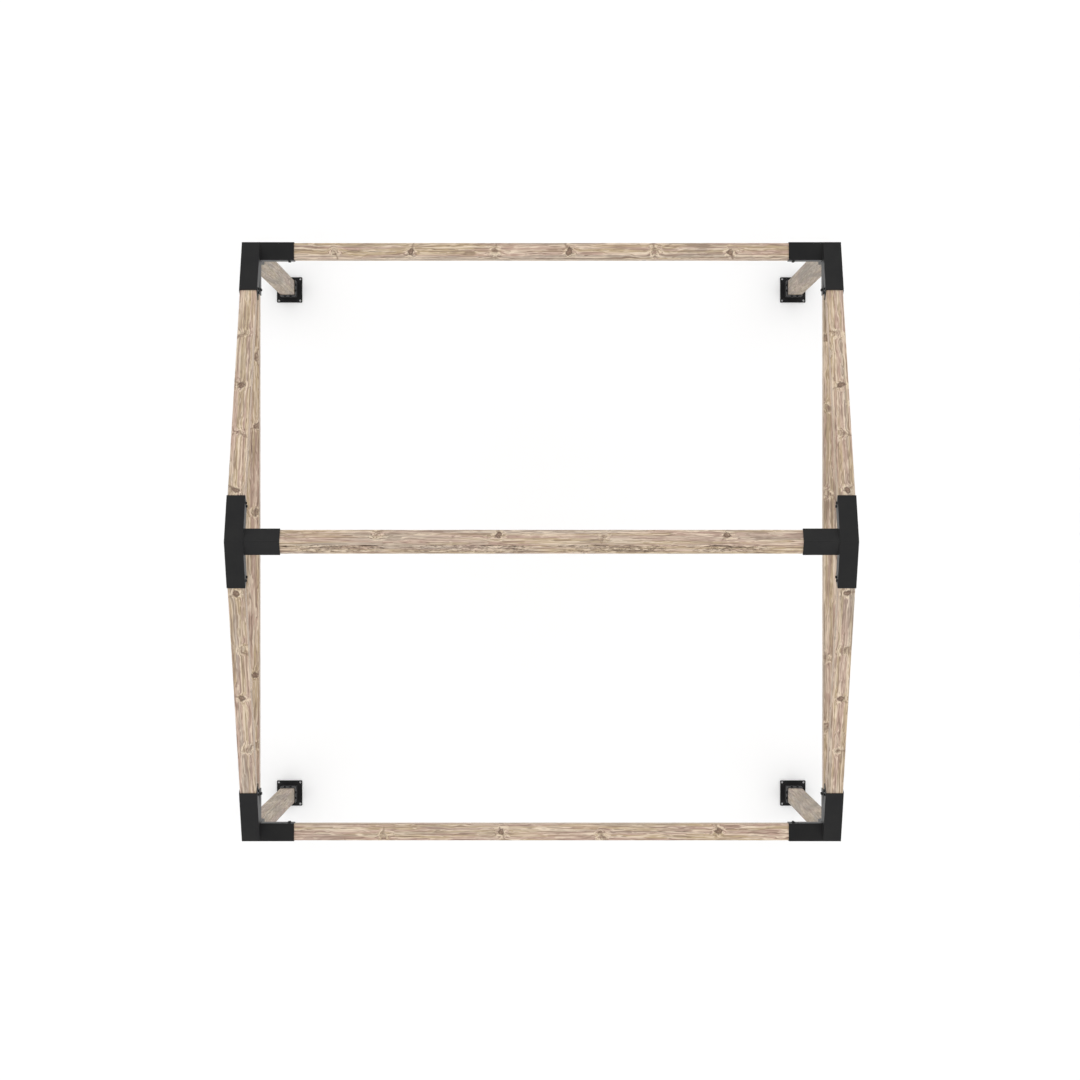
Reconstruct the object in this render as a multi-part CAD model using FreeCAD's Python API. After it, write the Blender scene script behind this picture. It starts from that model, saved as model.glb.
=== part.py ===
"""Gable-roofed open timber frame: posts, eave beams, tie beams, rafters and a ridge beam set on its edge,
held together by welded steel sleeve brackets and hex lag screws.

Millimetres, +Z up. X runs along the ridge, Y across it. The origin is on the ground, at the middle.
Pieces are drawn once, at the corner where X and Y are both positive, and mirrored to the other corners.
"""

import FreeCAD, Part
import math
import os
from FreeCAD import Rotation, Vector

# Timber
TIMBER = 88.9  # side of the dressed square timber
TIMBER_EASE = 3.0  # radius of its eased long edges
EAVE_LENGTH = 3048.0  # eave beams and ridge beam, between the blocks of the brackets
TIE_LENGTH = 3048.0  # tie beams, between the blocks of the brackets
POST_LENGTH = 2438.4
PITCH = 30.0  # roof slope, degrees
RAFTER_END_GAP = 1.0  # left at a rafter's upper end

# Sleeve brackets
WALL = 3.0  # steel thickness
BEND = 1.6  # outer radius of the folded steel
PLAY = 1.2  # gap between timber and steel, on each side
ARM = 185.0  # eave and tie sleeves, beyond the corner block
POST_SOCKET = 185.0  # sleeve below the corner block
RAFTER_ARM = 313.0  # top edge of a corner's rafter sleeve, along the slope from the outer edge
RAFTER_HEEL_GAP = 6.5  # from the foot of the rafter sleeve's floor to its stop plate
RIDGE_ARM = 277.0  # top edge of a ridge bracket's rafter sleeve, along the slope from the ridge
RIDGE_SLEEVE = 185.0  # sleeve of the ridge beam, beyond the ridge bracket's arms
VENT_D = 20.0  # drain and vent hole in each closed plate

# Base brackets
PLATE_SIDE = 158.0
PLATE_THICKNESS = 6.0
PLATE_CORNER = 5.0  # corner radius of the plate
BASE_SLEEVE = 185.0
ANCHOR_SPACING = 134.0
ANCHOR_HOLE_D = 12.5

# Lag screws and washers
SCREW_D = 8.0
SCREW_REACH = 58.0  # from the sleeve's outer face to the tip
SCREW_TIP = 7.0  # length of the pointed tip
HEAD_ACROSS_FLATS = 12.7
HEAD_HEIGHT = 5.5
HEAD_ROUNDING = 1.1  # how far the head's corners are turned down at its top
WASHER_D = 20.0
WASHER_THICKNESS = 1.6
HOLE_CLEARANCE = 1.0  # on the diameter, in sleeve and washer
PILOT_CLEARANCE = 0.1  # on the diameter, in the timber
SCREW_EDGE = 28.0  # from a sleeve's open end to its screws
SCREW_SPREAD = 17.5  # each side of the sleeve's centre line
SCREW_STAGGER = 12.0  # between the screws of two faces of a post sleeve

# Worked out from the sizes above
SLEEVE = TIMBER + 2 * (PLAY + WALL)  # outer side of every sleeve and block
HALF_X = EAVE_LENGTH / 2 + SLEEVE  # outer faces of the frame
HALF_Y = TIE_LENGTH / 2 + SLEEVE
INNER_X = HALF_X - SLEEVE  # inner faces of the blocks
INNER_Y = HALF_Y - SLEEVE
AXIS_X = HALF_X - SLEEVE / 2  # centre lines of posts and beams
AXIS_Y = HALF_Y - SLEEVE / 2
SOCKET_TOP = PLATE_THICKNESS + POST_LENGTH  # underside of the corner block
EAVE_TOP = SOCKET_TOP + SLEEVE
BEAM_AXIS = EAVE_TOP - SLEEVE / 2
SLOPE_SINE = math.sin(math.radians(PITCH))
SLOPE_COSINE = math.cos(math.radians(PITCH))
RIDGE_TOP = EAVE_TOP + HALF_Y * SLOPE_SINE / SLOPE_COSINE
RIDGE_AXIS = RIDGE_TOP - SLEEVE / math.sqrt(2)
SLOPE_LENGTH = HALF_Y / SLOPE_COSINE  # outer edge to ridge, along the top of the rafter sleeves
HEEL_STOP = SLEEVE * SLOPE_COSINE / SLOPE_SINE + RAFTER_HEEL_GAP  # where a rafter starts on the slope
RIDGE_STOP = (HALF_Y - SLEEVE * SLOPE_SINE) / SLOPE_COSINE  # and where its upper stop plate is

X_AXIS = Vector(1, 0, 0)
Y_AXIS = Vector(0, 1, 0)
Z_AXIS = Vector(0, 0, 1)
ORIGIN = Vector(0, 0, 0)
BEYOND = 1.0  # how far a cutting tool runs past what it cuts

LEFT_RIGHT = (("left", True), ("right", False))
FRONT_BACK = (("front", True), ("back", False))


def bar(start, direction, length, side, radius=0.0):
    """A square bar whose centre line starts at a point, with its long edges rounded."""
    solid = Part.makeBox(side, side, length, Vector(-side / 2, -side / 2, 0))
    if radius:
        long_edges = [e for e in solid.Edges if abs(e.tangentAt(e.FirstParameter).z) > 0.5]
        solid = solid.makeFillet(radius, long_edges)
    solid.Placement = FreeCAD.Placement(start, Rotation(Z_AXIS, direction))
    return solid


def block_between(low, high):
    return Part.makeBox(high.x - low.x, high.y - low.y, high.z - low.z, low)


def tilt(shape):
    """Turns what lies level below the outer top edge of the frame up to the slope of the roof."""
    return shape.rotated(Vector(0, HALF_Y, EAVE_TOP), X_AXIS, -PITCH)


def on_edge(shape):
    """Turns what lies level along the ridge by an eighth of a turn, onto its edge."""
    return shape.rotated(Vector(0, 0, RIDGE_AXIS), X_AXIS, 45)


def to_corner(shape, at_left, at_front):
    if at_left:
        shape = shape.mirror(ORIGIN, X_AXIS)
    if at_front:
        shape = shape.mirror(ORIGIN, Y_AXIS)
    return shape


def vent(plate_point, direction):
    """A cutter for the round hole through a wall that starts at a point."""
    start = plate_point - direction * BEYOND
    return Part.makeCylinder(VENT_D / 2, WALL + 2 * BEYOND, start, direction)


# Screws. A spot is a point on a sleeve's outer face and the direction out of the face.


def pair(centre, across, outward):
    """The two spots of a sleeve's face, each side of its centre line."""
    return [(centre - across * SCREW_SPREAD, outward), (centre + across * SCREW_SPREAD, outward)]


def eave_spots():
    centre = Vector(INNER_X - ARM + SCREW_EDGE, INNER_Y, BEAM_AXIS)
    return pair(centre, Z_AXIS, -Y_AXIS)


def tie_spots():
    centre = Vector(INNER_X, INNER_Y - ARM + SCREW_EDGE, BEAM_AXIS)
    return pair(centre, Z_AXIS, -X_AXIS)


def post_spots(sleeve_end, inwards):
    """Both inner faces of a post sleeve, one pair further from its open end than the other."""
    level = sleeve_end + inwards * SCREW_EDGE
    second_level = level + inwards * SCREW_STAGGER
    on_x_face = pair(Vector(INNER_X, AXIS_Y, level), Y_AXIS, -X_AXIS)
    on_y_face = pair(Vector(AXIS_X, INNER_Y, second_level), X_AXIS, -Y_AXIS)
    return on_x_face + on_y_face


def socket_spots():
    return post_spots(SOCKET_TOP - POST_SOCKET, 1)


def base_spots():
    return post_spots(PLATE_THICKNESS + BASE_SLEEVE, -1)


def rafter_spots(distance):
    """Spots at a distance along the slope, before the tilt."""
    return pair(Vector(INNER_X, HALF_Y - distance, BEAM_AXIS), Z_AXIS, -X_AXIS)


def heel_spots():
    return rafter_spots(RAFTER_ARM - SCREW_EDGE)


def head_spots():
    return rafter_spots(SLOPE_LENGTH - RIDGE_ARM + SCREW_EDGE)


def ridge_spots():
    """Spots on the face of the ridge sleeve that looks down after the eighth of a turn."""
    face = RIDGE_AXIS - SLEEVE / 2
    centre = Vector(INNER_X - RIDGE_SLEEVE + SCREW_EDGE, 0, face)
    return pair(centre, Y_AXIS, -Z_AXIS)


def lag_screw(spot):
    point, outward = spot
    seat = WASHER_THICKNESS
    shank_length = SCREW_REACH - SCREW_TIP + seat
    shank = Part.makeCylinder(SCREW_D / 2, shank_length, Vector(0, 0, seat), -Z_AXIS)
    tip = Part.makeCone(SCREW_D / 2, 0, SCREW_TIP, Vector(0, 0, seat - shank_length), -Z_AXIS)
    corner_radius = HEAD_ACROSS_FLATS / math.sqrt(3)
    corners = [
        Vector(corner_radius * math.cos(k * math.pi / 3), corner_radius * math.sin(k * math.pi / 3), seat)
        for k in range(7)
    ]
    head = Part.Face(Part.makePolygon(corners)).extrude(Z_AXIS * HEAD_HEIGHT)
    wide, narrow = corner_radius + HEAD_HEIGHT, corner_radius - HEAD_ROUNDING
    rounding = Part.makeCone(wide, narrow, HEAD_HEIGHT + HEAD_ROUNDING, Vector(0, 0, seat - HEAD_ROUNDING))
    screw = shank.fuse([tip, head.common(rounding)]).removeSplitter()
    screw.Placement = FreeCAD.Placement(point, Rotation(Z_AXIS, outward))
    return screw


def washer(spot):
    point, outward = spot
    disc = Part.makeCylinder(WASHER_D / 2, WASHER_THICKNESS)
    hole = Part.makeCylinder((SCREW_D + HOLE_CLEARANCE) / 2, WASHER_THICKNESS)
    ring = disc.cut(hole)
    ring.Placement = FreeCAD.Placement(point, Rotation(Z_AXIS, outward))
    return ring


def drill(spots, diameter, depth):
    """Cutters for the holes under some spots."""
    return [
        Part.makeCylinder(diameter / 2, depth + BEYOND, point + outward * BEYOND, -outward)
        for point, outward in spots
    ]


def wall_holes(spots):
    return drill(spots, SCREW_D + HOLE_CLEARANCE, WALL + PLAY)


def pilot_holes(spots):
    return drill(spots, SCREW_D + PILOT_CLEARANCE, SCREW_REACH + PILOT_CLEARANCE)


def tilted(shapes):
    return [tilt(shape) for shape in shapes]


def mirrored(shapes, normal):
    return [shape.mirror(ORIGIN, normal) for shape in shapes]


# Timbers


def timber(start, direction, length):
    return bar(start, direction, length, TIMBER, TIMBER_EASE)


def post():
    whole = timber(Vector(AXIS_X, AXIS_Y, PLATE_THICKNESS), Z_AXIS, POST_LENGTH)
    return whole.cut(pilot_holes(base_spots() + socket_spots()))


def eave_beam():
    whole = timber(Vector(-INNER_X, AXIS_Y, BEAM_AXIS), X_AXIS, 2 * INNER_X)
    holes = pilot_holes(eave_spots())
    return whole.cut(holes + mirrored(holes, X_AXIS))


def tie_beam():
    whole = timber(Vector(AXIS_X, -INNER_Y, BEAM_AXIS), Y_AXIS, 2 * INNER_Y)
    holes = pilot_holes(tie_spots())
    return whole.cut(holes + mirrored(holes, Y_AXIS))


def rafter():
    length = RIDGE_STOP - HEEL_STOP - RAFTER_END_GAP
    level = timber(Vector(AXIS_X, HALF_Y - HEEL_STOP, BEAM_AXIS), -Y_AXIS, length)
    return tilt(level.cut(pilot_holes(heel_spots() + head_spots())))


def ridge_beam():
    level = timber(Vector(-INNER_X, 0, RIDGE_AXIS), X_AXIS, 2 * INNER_X)
    holes = pilot_holes(ridge_spots())
    return on_edge(level.cut(holes + mirrored(holes, X_AXIS)))


# Brackets


def sleeve_bar(start, direction, length):
    return bar(start, direction, length, SLEEVE, BEND)


def sleeve_bore(start, direction, length):
    return bar(start, direction, length + BEYOND, SLEEVE - 2 * WALL)


def corner_bracket():
    """A closed block with sleeves for the eave beam, the tie beam, the post below and the rafter above."""
    centre = Vector(AXIS_X, AXIS_Y, BEAM_AXIS)
    half = SLEEVE / 2
    below_top = EAVE_TOP - 2 * BEND
    socket_end = Vector(AXIS_X, AXIS_Y, SOCKET_TOP - POST_SOCKET)
    post_sleeve = sleeve_bar(socket_end, Z_AXIS, below_top - socket_end.z)
    inset = half - BEND  # the beam sleeves start just inside the post sleeve's outer faces
    eave_sleeve = sleeve_bar(centre + X_AXIS * inset, -X_AXIS, inset + half + ARM)
    tie_sleeve = sleeve_bar(centre + Y_AXIS * inset, -Y_AXIS, inset + half + ARM)
    over_long = sleeve_bar(Vector(AXIS_X, HALF_Y + SLEEVE, BEAM_AXIS), -Y_AXIS, SLEEVE + RAFTER_ARM)
    roof_side = block_between(
        Vector(INNER_X - BEYOND, 0, below_top), Vector(HALF_X + BEYOND, HALF_Y, RIDGE_TOP)
    )
    rafter_sleeve = tilt(over_long).common(roof_side)
    body = post_sleeve.fuse([eave_sleeve, tie_sleeve, rafter_sleeve])

    rafter_stop = Vector(AXIS_X, HALF_Y - HEEL_STOP, BEAM_AXIS)
    heel_length = SLEEVE + HEEL_STOP - WALL
    heel = bar(Vector(AXIS_X, HALF_Y + SLEEVE, BEAM_AXIS), -Y_AXIS, heel_length, SLEEVE - 2 * WALL)
    above_block = block_between(
        Vector(INNER_X, 0, EAVE_TOP), Vector(HALF_X, HALF_Y - WALL, RIDGE_TOP)
    )
    bores = [
        bar(centre - Z_AXIS * (half - WALL), Z_AXIS, SLEEVE - 2 * WALL, SLEEVE - 2 * WALL),
        sleeve_bore(centre - X_AXIS * half, -X_AXIS, ARM),
        sleeve_bore(centre - Y_AXIS * half, -Y_AXIS, ARM),
        sleeve_bore(centre - Z_AXIS * half, -Z_AXIS, POST_SOCKET),
        tilt(sleeve_bore(rafter_stop, -Y_AXIS, RAFTER_ARM - HEEL_STOP)),
        tilt(heel).common(above_block),
    ]
    vents = [
        vent(centre - X_AXIS * half, X_AXIS),
        vent(centre - Y_AXIS * half, Y_AXIS),
        vent(centre - Z_AXIS * half, Z_AXIS),
        vent(centre + Z_AXIS * half, -Z_AXIS),
        tilt(vent(rafter_stop, Y_AXIS)),
    ]
    holes = wall_holes(eave_spots() + tie_spots() + socket_spots()) + tilted(wall_holes(heel_spots()))
    return body.cut(bores + vents + holes)


def ridge_bracket():
    """Two mitred rafter sleeves and, square to them, a sleeve on edge for the ridge beam."""
    back_half = block_between(
        Vector(INNER_X - BEYOND, 0, EAVE_TOP), Vector(HALF_X + BEYOND, HALF_Y, 2 * RIDGE_TOP)
    )
    open_end = Vector(AXIS_X, HALF_Y - SLOPE_LENGTH + RIDGE_ARM, BEAM_AXIS)
    arm = tilt(sleeve_bar(open_end, -Y_AXIS, RIDGE_ARM + SLEEVE)).common(back_half)
    rafter_stop = Vector(AXIS_X, HALF_Y - RIDGE_STOP, BEAM_AXIS)
    bore = tilt(sleeve_bore(rafter_stop, Y_AXIS, rafter_stop.distanceToPoint(open_end)))
    peak = tilt(sleeve_bore(rafter_stop - Y_AXIS * WALL, -Y_AXIS, 2 * SLEEVE)).common(back_half)
    back_cuts = [bore, peak, tilt(vent(rafter_stop, -Y_AXIS))] + tilted(wall_holes(head_spots()))

    inner_face = Vector(INNER_X, 0, RIDGE_AXIS)
    ridge_sleeve = on_edge(sleeve_bar(inner_face + X_AXIS * WALL, -X_AXIS, WALL + RIDGE_SLEEVE))
    ridge_cuts = [on_edge(sleeve_bore(inner_face, -X_AXIS, RIDGE_SLEEVE)), vent(inner_face, X_AXIS)]
    ridge_cuts += [on_edge(hole) for hole in wall_holes(ridge_spots())]
    body = arm.fuse(mirrored([arm], Y_AXIS) + [ridge_sleeve])
    return body.cut(back_cuts + mirrored(back_cuts, Y_AXIS) + ridge_cuts)


def base_bracket():
    plate = bar(Vector(AXIS_X, AXIS_Y, 0), Z_AXIS, PLATE_THICKNESS, PLATE_SIDE, PLATE_CORNER)
    sleeve = sleeve_bar(Vector(AXIS_X, AXIS_Y, 0), Z_AXIS, PLATE_THICKNESS + BASE_SLEEVE)
    bore = sleeve_bore(Vector(AXIS_X, AXIS_Y, PLATE_THICKNESS), Z_AXIS, BASE_SLEEVE)
    through = PLATE_THICKNESS + 2 * BEYOND
    drain = Part.makeCylinder(VENT_D / 2, through, Vector(AXIS_X, AXIS_Y, -BEYOND))
    anchors = [
        Part.makeCylinder(
            ANCHOR_HOLE_D / 2,
            through,
            Vector(AXIS_X + i * ANCHOR_SPACING / 2, AXIS_Y + j * ANCHOR_SPACING / 2, -BEYOND),
        )
        for i in (-1, 1)
        for j in (-1, 1)
    ]
    return plate.fuse([sleeve]).cut([bore, drain] + anchors + wall_holes(base_spots()))


# Groups of screws and washers


def corner_fasteners(make):
    level = [make(spot) for spot in eave_spots() + tie_spots() + socket_spots()]
    return Part.makeCompound(level + [tilt(make(spot)) for spot in heel_spots()])


def ridge_fasteners(make):
    back = [tilt(make(spot)) for spot in head_spots()]
    below = [on_edge(make(spot)) for spot in ridge_spots()]
    return Part.makeCompound(back + mirrored(back, Y_AXIS) + below)


def base_fasteners(make):
    return Part.makeCompound([make(spot) for spot in base_spots()])


def all_nodes():
    """Every node's name and shape."""
    nodes = {"ridge_beam": ridge_beam()}
    at_every_corner = {
        "post": post(),
        "rafter": rafter(),
        "corner_bracket": corner_bracket(),
        "base_bracket": base_bracket(),
        "corner_screws": corner_fasteners(lag_screw),
        "corner_washers": corner_fasteners(washer),
        "base_screws": base_fasteners(lag_screw),
        "base_washers": base_fasteners(washer),
    }
    at_each_side = {
        "tie_beam": tie_beam(),
        "ridge_bracket": ridge_bracket(),
        "ridge_screws": ridge_fasteners(lag_screw),
        "ridge_washers": ridge_fasteners(washer),
    }
    for side, at_left in LEFT_RIGHT:
        for name, shape in at_each_side.items():
            nodes[f"{name}_{side}"] = to_corner(shape, at_left, False)
        for end, at_front in FRONT_BACK:
            for name, shape in at_every_corner.items():
                nodes[f"{name}_{end}_{side}"] = to_corner(shape, at_left, at_front)
    for end, at_front in FRONT_BACK:
        nodes[f"eave_beam_{end}"] = to_corner(eave_beam(), False, at_front)
    return nodes


os.makedirs("parts", exist_ok=True)
for node_name, node_shape in sorted(all_nodes().items()):
    node_shape.exportStep(f"parts/{node_name}.step")
    print(node_name, len(node_shape.Solids), "solids,", round(node_shape.Volume / 1000, 1), "cm3")
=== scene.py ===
"""Looks for the gable-roofed timber frame: dry softwood timbers with grain, knots and checks, black
powder-coated sleeve brackets with weld beads, and black hex lag screws on washers. Metres, in the frame of
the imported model."""

import math

import bpy
import numpy as np
from mathutils import Matrix, Vector


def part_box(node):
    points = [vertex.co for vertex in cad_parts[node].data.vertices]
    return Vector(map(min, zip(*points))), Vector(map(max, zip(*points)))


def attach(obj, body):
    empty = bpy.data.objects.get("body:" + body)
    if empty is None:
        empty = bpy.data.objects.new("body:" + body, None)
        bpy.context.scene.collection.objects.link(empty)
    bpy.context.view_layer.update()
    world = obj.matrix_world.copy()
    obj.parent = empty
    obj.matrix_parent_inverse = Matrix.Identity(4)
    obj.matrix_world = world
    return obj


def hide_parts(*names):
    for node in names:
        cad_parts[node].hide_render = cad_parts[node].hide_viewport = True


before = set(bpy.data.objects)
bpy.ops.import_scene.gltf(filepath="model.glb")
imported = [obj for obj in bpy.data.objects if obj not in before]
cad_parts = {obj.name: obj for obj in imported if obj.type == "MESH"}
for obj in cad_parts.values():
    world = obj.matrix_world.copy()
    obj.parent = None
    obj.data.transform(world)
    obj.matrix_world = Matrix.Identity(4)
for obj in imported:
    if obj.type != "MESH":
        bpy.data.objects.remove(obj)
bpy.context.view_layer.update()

X, Y, Z = Vector((1, 0, 0)), Vector((0, 1, 0)), Vector((0, 0, 1))
SIDES = (("left", -1), ("right", 1))
ENDS = (("front", -1), ("back", 1))
CORNERS = [(f"{end}_{side}", x_sign, y_sign) for end, y_sign in ENDS for side, x_sign in SIDES]

# Sizes read from the frame
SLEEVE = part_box("corner_bracket_back_right")[1].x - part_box("ridge_beam")[1].x  # how wide a sleeve is
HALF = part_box("corner_bracket_back_right")[1].x  # from the middle out to the brackets' outer faces
INNER = HALF - SLEEVE
TIMBER = (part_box("post_back_right")[1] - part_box("post_back_right")[0]).x
EAVE_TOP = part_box("post_back_right")[1].z + SLEEVE
RIDGE_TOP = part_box("ridge_bracket_right")[1].z
PITCH = math.atan2(RIDGE_TOP - EAVE_TOP, HALF)
PLATE_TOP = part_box("post_back_right")[0].z

# Camera, light and floor
LENS_MM = 100.7
SENSOR_MM = 36.0
CAMERA_PLACE = (-0.0075, 0.0091, 18.890)
CAMERA_REACH = 200
SKY_LOW = 1.02  # at the horizon
SKY_HIGH = 1.33  # high up
SKY_HOLE = 0.5  # share of that left straight overhead
FLOOR_SIDE = 2000.0
FLOOR_DROP = 0.0005  # how far the floor lies below the base plates


def material(name):
    made = bpy.data.materials.new(name)
    made.use_nodes = True
    return made, made.node_tree.nodes["Principled BSDF"], Nodes(made.node_tree)


class Nodes:
    """Adds and links shader nodes. An input is a number, a colour, a vector or another node's socket."""

    def __init__(self, tree):
        self.tree = tree

    def feed(self, socket, value):
        if isinstance(value, bpy.types.NodeSocket):
            self.tree.links.new(value, socket)
        else:
            socket.default_value = value

    def fill(self, node, values):
        for name, value in values.items():
            self.feed(node.inputs[name], value)
        return node

    def add(self, kind, *inputs, **settings):
        node = self.tree.nodes.new(kind)
        for key, value in settings.items():
            setattr(node, key, value)
        for socket, value in zip(node.inputs, inputs):
            self.feed(socket, value)
        return node

    def math(self, operation, *inputs):
        return self.add("ShaderNodeMath", *inputs, operation=operation).outputs[0]

    def vector(self, operation, *inputs):
        node = self.add("ShaderNodeVectorMath", *inputs, operation=operation)
        return node.outputs["Value" if operation == "LENGTH" else "Vector"]

    def attribute(self, name, output):
        return self.add("ShaderNodeAttribute", attribute_name=name).outputs[output]

    def place(self):
        """The place on the piece, in the piece's own coordinates."""
        return self.add("ShaderNodeTexCoord").outputs["Object"]

    def noise_node(self, vector, scale, detail=2.0, roughness=0.5):
        values = {"Vector": vector, "Scale": scale, "Detail": detail, "Roughness": roughness}
        return self.fill(self.add("ShaderNodeTexNoise"), values)

    def noise(self, vector, scale, detail=2.0, roughness=0.5):
        return self.noise_node(vector, scale, detail, roughness).outputs[0]

    def grain(self, vector, along, across, detail=1.0, roughness=0.5):
        """Noise drawn out along a timber, with its scale along the timber and its scale across."""
        return self.noise(self.vector("MULTIPLY", vector, (along, across, across)), 1.0, detail, roughness)

    def split(self, vector):
        return self.add("ShaderNodeSeparateXYZ", vector).outputs[:]

    def join(self, *parts):
        return self.add("ShaderNodeCombineXYZ", *parts).outputs[0]

    def step(self, value, low, high, to_low=0.0, to_high=1.0):
        """Goes smoothly from to_low at low to to_high at high."""
        node = self.add("ShaderNodeMapRange", interpolation_type="SMOOTHSTEP")
        values = {"Value": value, "From Min": low, "From Max": high, "To Min": to_low, "To Max": to_high}
        return self.fill(node, values).outputs[0]

    def blend(self, factor, first, second):
        node = self.add("ShaderNodeMix", data_type="RGBA")
        self.feed(node.inputs["Factor"], factor)
        self.feed(node.inputs[6], first)
        self.feed(node.inputs[7], second)
        return node.outputs[2]

    def bump(self, height, strength, distance):
        values = {"Strength": strength, "Distance": distance, "Height": height}
        return self.fill(self.add("ShaderNodeBump"), values).outputs[0]


def srgb(red, green, blue):
    """A colour in linear light from its 0 to 255 display values."""

    def linear(value):
        value /= 255
        return value / 12.92 if value <= 0.04045 else ((value + 0.055) / 1.055) ** 2.4

    return (linear(red), linear(green), linear(blue), 1.0)


# Wood. Each timber's mesh carries four attributes:
#   along  the place in the timber, as (along, across, across), moved on by its own amount
#   knot   the place in the nearest knot in units of its radius, as two ways, and the distance
#   tree   the distance from the pith, the nearest knot's radius, and its kind, from 0 healed over to 1 dark
#   check  1 in a crack, and less in the torn grain round it

KNOT_LIMIT = 9.0  # beyond this many radii a place is in no knot
RINGS_PER_METRE = 260.0

PINK = srgb(190, 161, 146)
OCHRE = srgb(189, 167, 134)
ASH = srgb(171, 160, 147)
CREAM = srgb(234, 216, 193)
BROWN = srgb(136, 113, 97)
DARK_LINE = srgb(122, 101, 86)
LATEWOOD = srgb(134, 106, 80)
FIBRE = srgb(144, 124, 105)
FLECK = srgb(104, 84, 67)
CURL_EDGE = srgb(101, 84, 69)
CRACK = srgb(84, 68, 55)
KNOT_PALE = srgb(222, 204, 178)
KNOT_SPIKE = srgb(118, 95, 77)
KNOT_EARLYWOOD = srgb(142, 116, 97)
KNOT_LATEWOOD = srgb(108, 86, 71)
KNOT_GRIT = srgb(86, 67, 55)
KNOT_RIM = srgb(84, 66, 54)

BEAM_WEATHERED = srgb(156, 147, 138)
# Painted shade and a painted grey reflection for the posts' upright faces
POST_PAINTED_SHADE = srgb(101, 100, 94)
# Painted shade for the tie beams, which lie under the rafters
TIE_PAINTED_SHADE = srgb(104, 92, 80)


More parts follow.
